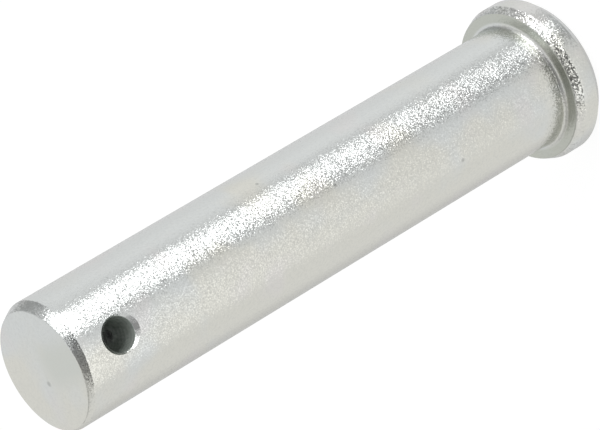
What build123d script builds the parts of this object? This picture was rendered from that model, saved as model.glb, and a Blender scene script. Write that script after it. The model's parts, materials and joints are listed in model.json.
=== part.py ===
from build123d import *
import math
import os

# Clevis pin: one piece of steel, turned from round bar and drilled across for a split pin.
# It stands on its head. The origin is the centre of the head's outer face, +Z runs up the
# shank to the tip, and the cross hole runs along Y.

# Driving dimensions, in millimetres
shank_diameter = 20.0
grip_length = 97.8            # from the head's underside to the tip
head_diameter = 25.6
head_height = 5.8
hole_diameter = 5.2           # takes a 5 mm split pin
hole_to_tip = 8.1             # from the hole's centre line to the tip

# Turned details
tip_chamfer_length = 1.2      # along the shank, at its mean
tip_chamfer_depth = 0.65      # towards the axis, at its mean
tip_chamfer_offset = 0.3      # the bar was chamfered off centre, deepest on the +X side
head_top_chamfer_length = 1.6
head_top_chamfer_depth = 1.3
head_under_chamfer_length = 1.5
head_under_chamfer_depth = 0.6
neck_fillet_radius = 0.7      # where the shank meets the head
soft_edge_radius = 0.3        # tumbled edges, as plated
countersink_margin = 0.7      # how far the countersink reaches past the hole's wall
countersink_angle = 90.0      # included angle of the deburring tool

# Dependent sizes
shank_radius = shank_diameter / 2
head_radius = head_diameter / 2
hole_radius = hole_diameter / 2
total_length = head_height + grip_length
hole_height = total_length - hole_to_tip
countersink_radius = hole_radius + countersink_margin
tool_overrun = shank_radius / 5


def turned_blank():
    """Head and shank together, as one revolved outline with its corners rounded."""
    corners = [
        ((head_radius - head_top_chamfer_depth, 0), soft_edge_radius),
        ((head_radius, head_top_chamfer_length), soft_edge_radius),
        ((head_radius, head_height - head_under_chamfer_length), soft_edge_radius),
        ((head_radius - head_under_chamfer_depth, head_height), soft_edge_radius),
        ((shank_radius, head_height), neck_fillet_radius),
    ]
    with BuildPart() as blank:
        with BuildSketch(Plane.XZ):
            with BuildLine():
                outline = FilletPolyline(
                    (0, 0),
                    *[point for point, radius in corners],
                    (shank_radius, total_length),
                    radius=[radius for point, radius in corners],
                )
                Polyline(outline @ 1, (0, total_length), outline @ 0)
            make_face()
        revolve(axis=Axis.Z)
    return blank.part


def tip_chamfer_waste():
    """The ring outside a cone that stands a little off the shank's axis, to be cut from the tip."""
    slope = tip_chamfer_depth / tip_chamfer_length
    mouth_radius = shank_radius - tip_chamfer_depth
    outer_radius = shank_radius + tool_overrun
    with BuildPart() as ring:
        with BuildSketch(Plane.XZ):
            with BuildLine():
                Polyline(
                    (mouth_radius - tool_overrun * slope, total_length + tool_overrun),
                    (outer_radius, total_length - (outer_radius - mouth_radius) / slope),
                    (outer_radius, total_length + tool_overrun),
                    close=True,
                )
            make_face()
        revolve(axis=Axis.Z)
    return Location((-tip_chamfer_offset, 0, 0)) * ring.part


def chamfered_tip(blank):
    """The blank with its tip chamfered, and both edges of that chamfer softened."""
    pin = blank - tip_chamfer_waste()
    chamfer_face = pin.faces().filter_by(GeomType.CONE).sort_by(Axis.Z)[-1]
    rims = chamfer_face.edges().filter_by(GeomType.LINE, reverse=True)
    return fillet(rims, radius=soft_edge_radius)


def cross_drill():
    """The drill's path along Y, opened out by a countersink at each mouth."""
    reach = shank_radius + tool_overrun
    slope = math.tan(math.radians(countersink_angle / 2))
    sink_depth = countersink_margin / slope
    outer_radius = countersink_radius + tool_overrun * slope
    with BuildPart() as drill:
        with BuildSketch(Plane.XY):
            with BuildLine():
                Polyline(
                    (0, -reach),
                    (outer_radius, -reach),
                    (hole_radius, -shank_radius + sink_depth),
                    (hole_radius, shank_radius - sink_depth),
                    (outer_radius, reach),
                    (0, reach),
                    close=True,
                )
            make_face()
        revolve(axis=Axis.Y)
    return Location((0, 0, hole_height)) * drill.part


def clevis_pin():
    pin = chamfered_tip(turned_blank()) - cross_drill()
    pin.label = "clevis_pin"
    return pin


os.makedirs("parts", exist_ok=True)
export_step(clevis_pin(), "parts/clevis_pin.step")
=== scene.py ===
import json
import math

import bmesh
import bpy
from mathutils import Matrix, Quaternion, Vector


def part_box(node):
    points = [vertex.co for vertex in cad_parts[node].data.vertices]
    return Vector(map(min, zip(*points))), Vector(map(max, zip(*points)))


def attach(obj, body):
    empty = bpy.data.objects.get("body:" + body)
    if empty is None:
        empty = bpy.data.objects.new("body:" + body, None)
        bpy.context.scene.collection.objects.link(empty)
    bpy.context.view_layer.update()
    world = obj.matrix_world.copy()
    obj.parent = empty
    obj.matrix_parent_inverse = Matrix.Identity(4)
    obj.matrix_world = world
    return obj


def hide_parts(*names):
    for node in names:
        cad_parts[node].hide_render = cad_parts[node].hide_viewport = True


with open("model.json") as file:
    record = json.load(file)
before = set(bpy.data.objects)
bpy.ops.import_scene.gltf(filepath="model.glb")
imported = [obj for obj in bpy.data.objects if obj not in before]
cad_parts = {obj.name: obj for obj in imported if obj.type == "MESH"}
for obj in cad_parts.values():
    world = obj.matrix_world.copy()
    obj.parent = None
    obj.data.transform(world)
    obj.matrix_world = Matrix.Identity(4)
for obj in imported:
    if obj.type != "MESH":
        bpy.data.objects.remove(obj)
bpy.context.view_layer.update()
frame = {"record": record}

MM = 0.001
MOUNTS = {mount["name"]: mount for mount in frame["record"]["mounts"]}

# ---------------------------------------------------------------- sizes, in metres

PIN_LOW, PIN_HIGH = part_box("clevis_pin")
PIN_HEIGHT = PIN_HIGH.z - PIN_LOW.z
HEAD_RADIUS = PIN_HIGH.x
SHANK_RADIUS = MOUNTS["shank"]["dims"]["r_mm"] * MM
HOLE_RADIUS = MOUNTS["cotter_hole"]["dims"]["r_mm"] * MM
HOLE_HEIGHT = MOUNTS["cotter_hole"]["pos_m"][2]
SINK_DEPTH = SHANK_RADIUS - MOUNTS["cotter_hole"]["dims"]["length_mm"] * MM / 2
HEAD_HEIGHT = MOUNTS["head_seat"]["pos_m"][2]

HEAD_TOP_CHAMFER = Vector((1.3, 1.6)) * MM      # towards the axis, along it
HEAD_UNDER_CHAMFER = Vector((0.6, 1.5)) * MM
TIP_CHAMFER = Vector((0.65, 1.2)) * MM
TIP_CHAMFER_OFFSET = 0.3 * MM
NECK_RADIUS = 0.7 * MM
SOFT_EDGE = 0.3 * MM
OVERRUN = 2.0 * MM                               # how far the drill's path passes the shank
RING_PITCH = 1.0 * MM                            # the drill's feed rings
RING_DEPTH = 0.012 * MM
RING_POINTS = 6
TURNS = 240                                      # facets round the pin
BORE_TURNS = 96
SHANK_ROWS = 24
SHARP_ANGLE = math.radians(28)
FLOOR_SIZE = 6.0
FLOOR_GAP = 0.05 * MM                            # keeps the floor clear of the head's face

# ---------------------------------------------------------------- camera

CAMERA_AZIMUTH = math.radians(7.5)
CAMERA_ELEVATION = math.radians(33.961)
CAMERA_ROLL = math.radians(-120.778)
CAMERA_DISTANCE = 0.62103
CAMERA_AIM = Vector((0.168 * MM, 0.022 * MM, 0.5084 * PIN_HEIGHT))
CAMERA_LENS = 252.55
CAMERA_SENSOR = 36.0

# ---------------------------------------------------------------- colours

BLUISH = (0.748, 0.772, 0.762, 1.0)
STRAW = (0.775, 0.772, 0.712, 1.0)
ROSY = (0.785, 0.762, 0.752, 1.0)
MOTTLE_GREY = (0.45, 0.46, 0.46, 1.0)
NICK_GREY = (0.30, 0.31, 0.30, 1.0)
# painted shade for the seat face under the head
SEAT_SHADE_OLIVE = (0.56, 0.58, 0.52, 1.0)
END_BAND_GREY = (0.69, 0.71, 0.67, 1.0)
BORE_DARK = (0.45, 0.50, 0.46, 1.0)
BORE_LIGHT = (0.52, 0.56, 0.52, 1.0)
# painted shade inside the cross hole
BORE_SHADE_BLACK = (0.03, 0.03, 0.03, 1.0)
WHITE = (1.0, 1.0, 1.0, 1.0)
FLOOR_GREY = (0.22, 0.22, 0.22, 1.0)

# ---------------------------------------------------------------- light and grain

WALL_LIGHT = 0.80
SWEEP_LIGHT = 1.25
KEY_LIGHT = 3.5
FLOOR_GLOW = 0.88
FACETS_PER_METRE = 11000.0
FACETS_UNDER_HEAD = 5500.0
GRAIN_HEIGHT = 0.012 * MM

# each small nick: its place on the pin and its reach, in millimetres
NICKS = (
    ((-4.06, -9.14, 28.18), 0.45),
    ((8.07, -5.91, 61.01), 0.40),
    ((2.60, -9.66, 51.36), 0.45),
    ((3.34, -9.43, 48.66), 0.55),
    ((-2.25, 0.30, 103.6), 0.60),
)


# ---------------------------------------------------------------- the pin's mesh

def rounded_outline(corners):
    """Points along an outline whose corners are arcs.

    Each corner is (across, along, radius, segments).
    """
    points = []
    for index, (across, along, radius, segments) in enumerate(corners):
        corner = Vector((across, along))
        if radius == 0.0:
            points.append(corner)
            continue
        back = (Vector(corners[index - 1][:2]) - corner).normalized()
        ahead = (Vector(corners[index + 1][:2]) - corner).normalized()
        half_angle = back.angle(ahead) / 2
        centre = corner + (back + ahead).normalized() * radius / math.sin(half_angle)
        reach = radius / math.tan(half_angle)
        start, end = corner + back * reach - centre, corner + ahead * reach - centre
        sweep = start.angle_signed(end)
        for step in range(segments + 1):
            turn = Matrix.Rotation(-sweep * step / segments, 2)
            points.append(centre + turn @ start)
    return points


def spun(outline, turns, name):
    """A closed body: the outline of (radius, height) points turned about Z."""
    mesh = bpy.data.meshes.new(name)
    shape = bmesh.new()
    row = [shape.verts.new((point.x, 0.0, point.y)) for point in outline]
    edges = [shape.edges.new(pair) for pair in zip(row, row[1:])]
    bmesh.ops.spin(
        shape, geom=row + edges, cent=(0, 0, 0), axis=(0, 0, 1),
        angle=math.tau, steps=turns, use_merge=True,
    )
    bmesh.ops.remove_doubles(shape, verts=shape.verts, dist=0.0005 * MM)
    bmesh.ops.recalc_face_normals(shape, faces=shape.faces)
    shape.to_mesh(mesh)
    shape.free()
    body = bpy.data.objects.new(name, mesh)
    bpy.context.scene.collection.objects.link(body)
    return body


def pin_outline():
    """Half the pin's outline, from the middle of the head's face to the middle of the tip."""
    corners = [
        (0.0, 0.0, 0.0, 0),
        (HEAD_RADIUS - HEAD_TOP_CHAMFER.x, 0.0, SOFT_EDGE, 4),
        (HEAD_RADIUS, HEAD_TOP_CHAMFER.y, SOFT_EDGE, 4),
        (HEAD_RADIUS, HEAD_HEIGHT - HEAD_UNDER_CHAMFER.y, SOFT_EDGE, 3),
        (HEAD_RADIUS - HEAD_UNDER_CHAMFER.x, HEAD_HEIGHT, SOFT_EDGE, 4),
        (SHANK_RADIUS, HEAD_HEIGHT, NECK_RADIUS, 8),
    ]
    first = HEAD_HEIGHT + 2 * NECK_RADIUS
    last = PIN_HEIGHT - 3 * TIP_CHAMFER.y
    for row in range(SHANK_ROWS + 1):
        corners.append((SHANK_RADIUS, first + (last - first) * row / SHANK_ROWS, 0.0, 0))
    corners += [
        (SHANK_RADIUS, PIN_HEIGHT - TIP_CHAMFER.y, SOFT_EDGE, 3),
        (SHANK_RADIUS - TIP_CHAMFER.x, PIN_HEIGHT, SOFT_EDGE, 4),
        (0.0, PIN_HEIGHT, 0.0, 0),
    ]
    return rounded_outline(corners)


def set_chamfer_off_centre(mesh):
    """Slides the tip's chamfer sideways: long on the +X side, short on the other."""
    slope = TIP_CHAMFER.x / TIP_CHAMFER.y
    chamfer_foot = PIN_HEIGHT - TIP_CHAMFER.y
    fade_start = PIN_HEIGHT - 3 * TIP_CHAMFER.y
    for vertex in mesh.vertices:
        place = vertex.co
        if place.z <= fade_start:
            continue
        cosine = place.x / max(place.xy.length, 1e-9)
        up_chamfer = max(0.0, (place.z - chamfer_foot) / TIP_CHAMFER.y)
        up_fade = min(1.0, (place.z - fade_start) / (chamfer_foot - fade_start))
        place.z -= up_fade * (1.0 - up_chamfer) * cosine * TIP_CHAMFER_OFFSET / slope
        place.x -= up_chamfer * TIP_CHAMFER_OFFSET


def drill_outline():
    """Half the drill's path: wall with faint feed rings, then the countersink."""
    wall_end = SHANK_RADIUS - SINK_DEPTH
    rows = round(2 * wall_end / RING_PITCH) * RING_POINTS
    mouth_radius = HOLE_RADIUS + SINK_DEPTH + OVERRUN
    mouth_end = SHANK_RADIUS + OVERRUN
    points = [Vector((0.0, -mouth_end)), Vector((mouth_radius, -mouth_end))]
    for row in range(rows + 1):
        along = -wall_end + 2 * wall_end * row / rows
        ripple = 0.5 - 0.5 * math.cos(math.tau * row / RING_POINTS)
        points.append(Vector((HOLE_RADIUS + RING_DEPTH * ripple, along)))
    points += [Vector((mouth_radius, mouth_end)), Vector((0.0, mouth_end))]
    return points


def build_pin():
    """The pin's finished mesh, with the cross hole cut along Y."""
    pin = spun(pin_outline(), TURNS, "pin_body")
    set_chamfer_off_centre(pin.data)
    drill = spun(drill_outline(), BORE_TURNS, "drill")
    lie_down = Matrix.Rotation(math.radians(90), 4, "X")
    drill.data.transform(Matrix.Translation((0, 0, HOLE_HEIGHT)) @ lie_down)
    cut = pin.modifiers.new("cross_hole", "BOOLEAN")
    cut.operation = "DIFFERENCE"
    cut.solver = "EXACT"
    cut.object = drill
    graph = bpy.context.evaluated_depsgraph_get()
    mesh = bpy.data.meshes.new_from_object(pin.evaluated_get(graph))
    pin.modifiers.clear()
    pin.data = mesh
    bpy.data.objects.remove(drill)
    for face in mesh.polygons:
        face.use_smooth = True
    mesh.set_sharp_from_angle(angle=SHARP_ANGLE)
    return pin


# ---------------------------------------------------------------- node helpers

def join(tree, source, target):
    """Links an output socket to an input socket, or writes a plain value on the input."""
    if isinstance(source, bpy.types.NodeSocket):
        tree.links.new(source, target)
    else:
        target.default_value = source


def calc(tree, operation, first, second=0.0, third=0.0):
    """One Math node; gives its output socket."""
    node = tree.nodes.new("ShaderNodeMath")
    node.operation = operation
    for socket, value in zip(node.inputs, (first, second, third)):
        join(tree, value, socket)
    return node.outputs[0]


def across(tree, first, second):
    """The length of the slant over two sides: the root of the sum of their squares."""
    squares = [calc(tree, "MULTIPLY", side, side) for side in (first, second)]
    return calc(tree, "SQRT", calc(tree, "ADD", *squares))


def vector_calc(tree, operation, first, second):
    """One Vector Math node; gives the node."""
    node = tree.nodes.new("ShaderNodeVectorMath")
    node.operation = operation
    join(tree, first, node.inputs[0])
    join(tree, second, node.inputs["Scale"] if operation == "SCALE" else node.inputs[1])
    return node


def ramp(tree, value, low, high, out_low=0.0, out_high=1.0):
    """A smooth step of value from low to high; gives its output socket."""
    node = tree.nodes.new("ShaderNodeMapRange")
    node.interpolation_type = "SMOOTHSTEP"
    join(tree, value, node.inputs["Value"])
    join(tree, low, node.inputs["From Min"])
    join(tree, high, node.inputs["From Max"])
    join(tree, out_low, node.inputs["To Min"])
    join(tree, out_high, node.inputs["To Max"])
    return node.outputs["Result"]


def blend_values(tree, share, first, second):
    """Mixes two values; gives the value's socket."""
    node = tree.nodes.new("ShaderNodeMix")
    node.data_type = "FLOAT"
    for name, value in (("Factor", share), ("A", first), ("B", second)):
        join(tree, value, node.inputs[name])
    return node.outputs[0]


def blend(tree, share, first, second):
    """Mixes two colours; gives the colour socket."""
    node = tree.nodes.new("ShaderNodeMix")
    node.data_type = "RGBA"
    join(tree, share, node.inputs["Factor"])
    join(tree, first, node.inputs[6])
    join(tree, second, node.inputs[7])
    return node.outputs[2]


def noise(tree, place, scale, detail=2.0, roughness=0.5):
    """One Noise texture; gives its value."""
    node = tree.nodes.new("ShaderNodeTexNoise")
    node.inputs["Scale"].default_value = scale
    node.inputs["Detail"].default_value = detail
    node.inputs["Roughness"].default_value = roughness
    tree.links.new(place, node.inputs["Vector"])
    return node.outputs["Fac"]


# ---------------------------------------------------------------- studio

def window(tree, value, low, high, soft):
    """1 between low and high, falling to 0 over a soft edge on both sides."""
    rising = ramp(tree, value, low - soft, low + soft)
    falling = ramp(tree, value, high - soft, high + soft, 1.0, 0.0)
    return calc(tree, "MULTIPLY", rising, falling)


def panel(tree, azimuth, elevation, sideways, upwards, soft):
    """A soft-edged rectangle of the studio's walls, in degrees of azimuth and elevation."""
    across_share = window(tree, azimuth, *sideways, soft)
    up_share = window(tree, elevation, *upwards, soft)
    return calc(tree, "MULTIPLY", across_share, up_share)


def lit(tree, light, share, strength):
    """Moves light towards strength where share is 1."""
    rest = calc(tree, "SUBTRACT", strength, light)
    return calc(tree, "MULTIPLY_ADD", share, rest, light)


def build_world():
    """A white room in soft rectangles: plain walls, darker stretches and one key light."""
    world = bpy.data.worlds.new("studio")
    bpy.context.scene.world = world
    world.use_nodes = True
    tree = world.node_tree
    background = tree.nodes["Background"]
    direction = tree.nodes.new("ShaderNodeTexCoord").outputs["Generated"]
    split = tree.nodes.new("ShaderNodeSeparateXYZ")
    tree.links.new(direction, split.inputs[0])
    x, y, z = split.outputs
    # azimuth 0 is the side of the cross hole's near mouth, and +90 is the +X side
    towards = calc(tree, "MULTIPLY", y, -1.0)
    azimuth = calc(tree, "DEGREES", calc(tree, "ARCTAN2", x, towards))
    elevation = calc(tree, "DEGREES", calc(tree, "ARCSINE", z))

    def patch(light, sideways, upwards, soft, strength):
        share = panel(tree, azimuth, elevation, sideways, upwards, soft)
        return lit(tree, light, share, strength)

    light = WALL_LIGHT
    # the far sides of the table
    light = patch(light, (-230, -124), (-90, 0), 18.0, 0.62)
    light = patch(light, (146, 230), (-90, 0), 16.0, 0.75)
    # the table in front, with a lit sweep across its far part
    light = patch(light, (-40, 24), (-90, -30), 10.0, 0.74)
    sweep = window(tree, azimuth, -58, 4, 9.0)
    sweep = calc(tree, "MULTIPLY", sweep, ramp(tree, elevation, -34.5, -20.0))
    sweep = calc(tree, "MULTIPLY", sweep, ramp(tree, elevation, -1.0, -7.0))
    light = lit(tree, light, sweep, SWEEP_LIGHT)
    # walls to the left and beyond the key light, mostly dimmer
    light = patch(light, (-150, -50), (26, 62), 16.0, 0.42)
    light = patch(light, (98, 126), (8, 56), 6.0, 0.50)
    light = patch(light, (94, 122), (-90, -24), 8.0, 0.87)
    light = patch(light, (90, 152), (-18, 12), 6.0, 0.37)
    # the dark room behind the camera, darkest at the camera's height and low down
    light = patch(light, (-48, 33), (-3, 72), 5.0, 0.33)
    light = patch(light, (-24, 26), (31, 40), 4.0, 0.10)
    light = patch(light, (-42, 36), (-3, 16), 4.0, 0.14)
    # dark edges below the key light
    light = patch(light, (24, 60), (-90, -34), 3.0, 0.40)
    light = patch(light, (60, 88), (-90, -34), 4.0, 0.56)
    # the key light: its lower edge is slanted, its near side draws in low down,
    # and it is narrower higher up
    slanted = calc(tree, "MULTIPLY_ADD", azimuth, 0.1, elevation)
    below = calc(tree, "MINIMUM", calc(tree, "ADD", elevation, 30.0), 0.0)
    skewed = calc(tree, "MULTIPLY_ADD", below, 1.3, azimuth)
    near_side = ramp(tree, skewed, 27.0, 38.0)
    far_side = ramp(tree, azimuth, 73.5, 63.5)
    low = calc(tree, "MULTIPLY", near_side, far_side)
    high = window(tree, azimuth, 52, 72, 6.0)
    sides = blend_values(tree, ramp(tree, elevation, -22.0, -6.0), low, high)
    key = calc(tree, "MULTIPLY", sides, ramp(tree, slanted, -28.0, -21.3))
    key = calc(tree, "MULTIPLY", key, ramp(tree, elevation, 42.0, 30.0))
    light = lit(tree, light, key, KEY_LIGHT)
    tree.links.new(light, background.inputs["Strength"])
    background.inputs["Color"].default_value = WHITE


def build_floor():
    """A pale floor that looks white to the camera and still takes the pin's shadow."""
    bpy.ops.mesh.primitive_plane_add(size=FLOOR_SIZE, location=(0, 0, -FLOOR_GAP))
    floor = bpy.context.object
    floor.name = "floor"
    floor.visible_glossy = False
    material = bpy.data.materials.new("pale_floor")
    material.use_nodes = True
    tree = material.node_tree
    tree.nodes.clear()
    output = tree.nodes.new("ShaderNodeOutputMaterial")
    diffuse = tree.nodes.new("ShaderNodeBsdfDiffuse")
    diffuse.inputs["Color"].default_value = FLOOR_GREY
    glow = tree.nodes.new("ShaderNodeEmission")
    glow.inputs["Color"].default_value = WHITE
    path = tree.nodes.new("ShaderNodeLightPath")
    seen = calc(tree, "MULTIPLY", path.outputs["Is Camera Ray"], FLOOR_GLOW)
    tree.links.new(seen, glow.inputs["Strength"])
    add = tree.nodes.new("ShaderNodeAddShader")
    tree.links.new(diffuse.outputs[0], add.inputs[0])
    tree.links.new(glow.outputs[0], add.inputs[1])
    tree.links.new(add.outputs[0], output.inputs["Surface"])
    floor.data.materials.append(material)


def build_camera():
    """A long lens above the tip, turned so that the tip points down to the left."""
    back = Vector((
        math.sin(CAMERA_AZIMUTH) * math.cos(CAMERA_ELEVATION),
        -math.cos(CAMERA_AZIMUTH) * math.cos(CAMERA_ELEVATION),
        math.sin(CAMERA_ELEVATION),
    ))
    data = bpy.data.cameras.new("camera")
    data.sensor_width = CAMERA_SENSOR
    data.lens = CAMERA_LENS
    data.clip_start = 0.01
    data.clip_end = 50.0
    camera = bpy.data.objects.new("camera", data)
    bpy.context.scene.collection.objects.link(camera)
    camera.rotation_mode = "QUATERNION"
    camera.location = CAMERA_AIM + back * CAMERA_DISTANCE
    level = (-back).to_track_quat("-Z", "Y")
    camera.rotation_quaternion = level @ Quaternion((0, 0, 1), CAMERA_ROLL)
    bpy.context.scene.camera = camera


# ---------------------------------------------------------------- zinc plate

def on_cone(tree, radius, height, foot, slope, foot_radius):
    """1 on the turned cone that starts at foot_radius and narrows by slope above the foot."""
    over = calc(tree, "MULTIPLY_ADD", calc(tree, "SUBTRACT", height, foot), slope, radius)
    return ramp(tree, over, foot_radius - 0.12 * MM, foot_radius - 0.04 * MM)


def near(tree, place, spot, reach):
    """1 at the spot, falling to 0 at the distance reach."""
    distance = vector_calc(tree, "DISTANCE", place, spot).outputs["Value"]
    return ramp(tree, distance, reach, 0.3 * reach)


def zinc_plate():
    """Clear passivated zinc plate with a fine crystalline grain."""
    material = bpy.data.materials.new("zinc_plated_steel")
    material.use_nodes = True
    tree = material.node_tree
    shader = tree.nodes["Principled BSDF"]
    place = tree.nodes.new("ShaderNodeTexCoord").outputs["Object"]
    split = tree.nodes.new("ShaderNodeSeparateXYZ")
    tree.links.new(place, split.inputs[0])
    x, y, z = split.outputs
    radius = across(tree, x, y)

    # faintly blue, straw and rosy in patches, with a fine mottle; a painted reflection tint
    # makes the +X side bluer and the -X side warmer
    painted_reflection_tint = ramp(tree, x, 7.0 * MM, -4.0 * MM, -0.14, 0.12)
    straw = ramp(tree, calc(tree, "ADD", noise(tree, place, 90.0, 2.0), painted_reflection_tint), 0.38, 0.62)
    colour = blend(tree, straw, BLUISH, STRAW)
    rosy = ramp(tree, noise(tree, place, 140.0, 1.0), 0.55, 0.75)
    colour = blend(tree, calc(tree, "MULTIPLY", rosy, 0.5), colour, ROSY)
    mottle = ramp(tree, noise(tree, place, 2400.0, 2.0, 0.7), 0.30, 0.60, 0.12, 0.0)
    colour = blend(tree, mottle, colour, MOTTLE_GREY)
    nicks = 0.0
    for spot, reach in NICKS:
        nick = near(tree, place, [value * MM for value in spot], reach * MM)
        nicks = calc(tree, "MAXIMUM", nicks, nick)
    colour = blend(tree, calc(tree, "MULTIPLY", nicks, 0.5), colour, NICK_GREY)

    # plating is dull in the corner under the head; the seat face there gets a painted shade,
    # olive grey, for its shade and its dark reflection of the shank
    in_corner = ramp(tree, calc(tree, "SUBTRACT", z, HEAD_HEIGHT), 2.6 * MM, 1.0 * MM)
    above_rim = ramp(tree, z, HEAD_HEIGHT - 0.10 * MM, HEAD_HEIGHT - 0.02 * MM)
    in_corner = calc(tree, "MULTIPLY", in_corner, above_rim)
    painted_seat_shade = ramp(tree, radius, SHANK_RADIUS + 0.4 * MM, SHANK_RADIUS + 0.9 * MM)
    painted_seat_shade = calc(tree, "MULTIPLY", painted_seat_shade, in_corner)
    colour = blend(tree, calc(tree, "MULTIPLY", painted_seat_shade, 0.8), colour, SEAT_SHADE_OLIVE)

    # a faint darker grey band across the end face
    on_face = ramp(tree, z, PIN_HEIGHT - 0.02 * MM, PIN_HEIGHT)
    end_band = ramp(tree, calc(tree, "ABSOLUTE", x), 5.0 * MM, 1.0 * MM)
    end_band = calc(tree, "MULTIPLY", end_band, ramp(tree, y, 1.5 * MM, -3.0 * MM))
    colour = blend(tree, calc(tree, "MULTIPLY", end_band, on_face), colour, END_BAND_GREY)

    # inside the cross hole the plate is thin and dark, ringed by the drill's feed, and a
    # painted shade turns it black deep in the bore's middle and in a spot on its head-side wall
    up = calc(tree, "SUBTRACT", z, HOLE_HEIGHT)
    from_hole_axis = across(tree, up, x)
    in_hole = ramp(tree, from_hole_axis, HOLE_RADIUS + 0.10 * MM, HOLE_RADIUS + 0.04 * MM)
    deep_inside = ramp(
        tree, calc(tree, "ABSOLUTE", y), 0.20 * SHANK_RADIUS, 0.12 * SHANK_RADIUS,
    )
    rings = calc(tree, "SINE", calc(tree, "MULTIPLY", y, math.tau / (0.9 * MM)))
    bore_colour = blend(tree, ramp(tree, rings, -1.0, 1.0), BORE_DARK, BORE_LIGHT)
    # painted shadow: a black spot on the bore's head-side wall
    painted_bore_shadow = near(tree, place, (-0.3 * MM, -2.6 * MM, HOLE_HEIGHT - HOLE_RADIUS), 1.3 * MM)
    bore_colour = blend(tree, calc(tree, "MAXIMUM", deep_inside, painted_bore_shadow), bore_colour, BORE_SHADE_BLACK)
    colour = blend(tree, in_hole, colour, bore_colour)
    tree.links.new(colour, shader.inputs["Base Color"])
    tree.links.new(calc(tree, "MULTIPLY_ADD", in_hole, -0.9, 1.0), shader.inputs["Metallic"])

    rough = ramp(tree, noise(tree, place, 400.0), 0.35, 0.65, 0.09, 0.12)
    rough = calc(tree, "MULTIPLY_ADD", in_corner, 0.14, rough)
    tree.links.new(calc(tree, "MULTIPLY_ADD", in_hole, 0.35, rough), shader.inputs["Roughness"])

    # fine crystalline grain, steeper on the turned chamfers and larger under the head
    off_x = calc(tree, "ADD", x, TIP_CHAMFER_OFFSET)
    tip_cone = on_cone(
        tree, across(tree, off_x, y), z,
        PIN_HEIGHT - TIP_CHAMFER.y, TIP_CHAMFER.x / TIP_CHAMFER.y, SHANK_RADIUS,
    )
    head_cone = on_cone(
        tree, radius, z,
        HEAD_HEIGHT - HEAD_UNDER_CHAMFER.y,
        HEAD_UNDER_CHAMFER.x / HEAD_UNDER_CHAMFER.y, HEAD_RADIUS,
    )
    below_seat = ramp(tree, z, HEAD_HEIGHT + 0.04 * MM, HEAD_HEIGHT)
    head_cone = calc(tree, "MULTIPLY", head_cone, below_seat)
    coarse = calc(tree, "MAXIMUM", calc(tree, "MULTIPLY", tip_cone, 0.5), head_cone)
    coarse = calc(tree, "MAXIMUM", coarse, calc(tree, "MULTIPLY", in_corner, 0.2))
    facets = tree.nodes.new("ShaderNodeTexVoronoi")
    fewer = FACETS_UNDER_HEAD - FACETS_PER_METRE
    facets_per_metre = calc(tree, "MULTIPLY_ADD", head_cone, fewer, FACETS_PER_METRE)
    tree.links.new(facets_per_metre, facets.inputs["Scale"])
    tree.links.new(place, facets.inputs["Vector"])
    lean = vector_calc(tree, "SUBTRACT", facets.outputs["Color"], (0.5, 0.5, 0.5))
    steepness = calc(tree, "MULTIPLY_ADD", coarse, 0.30, 0.21)
    calm_face = calc(tree, "MULTIPLY_ADD", on_face, -0.8, 1.0)
    steepness = calc(tree, "MULTIPLY", steepness, calm_face)
    tilt = vector_calc(tree, "SCALE", lean.outputs["Vector"], steepness)
    grain = noise(tree, place, 3000.0, 1.0, 0.6)
    bump = tree.nodes.new("ShaderNodeBump")
    bump.inputs["Distance"].default_value = GRAIN_HEIGHT
    tree.links.new(grain, bump.inputs["Height"])
    leaning = vector_calc(tree, "ADD", bump.outputs["Normal"], tilt.outputs["Vector"])
    level = tree.nodes.new("ShaderNodeVectorMath")
    level.operation = "NORMALIZE"
    tree.links.new(leaning.outputs["Vector"], level.inputs[0])
    tree.links.new(level.outputs["Vector"], shader.inputs["Normal"])
    return material


pin = build_pin()
pin.data.materials.clear()
pin.data.materials.append(zinc_plate())
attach(pin, "root")
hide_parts("clevis_pin")

build_world()
build_floor()
build_camera()
bpy.context.scene.view_settings.view_transform = "Standard"
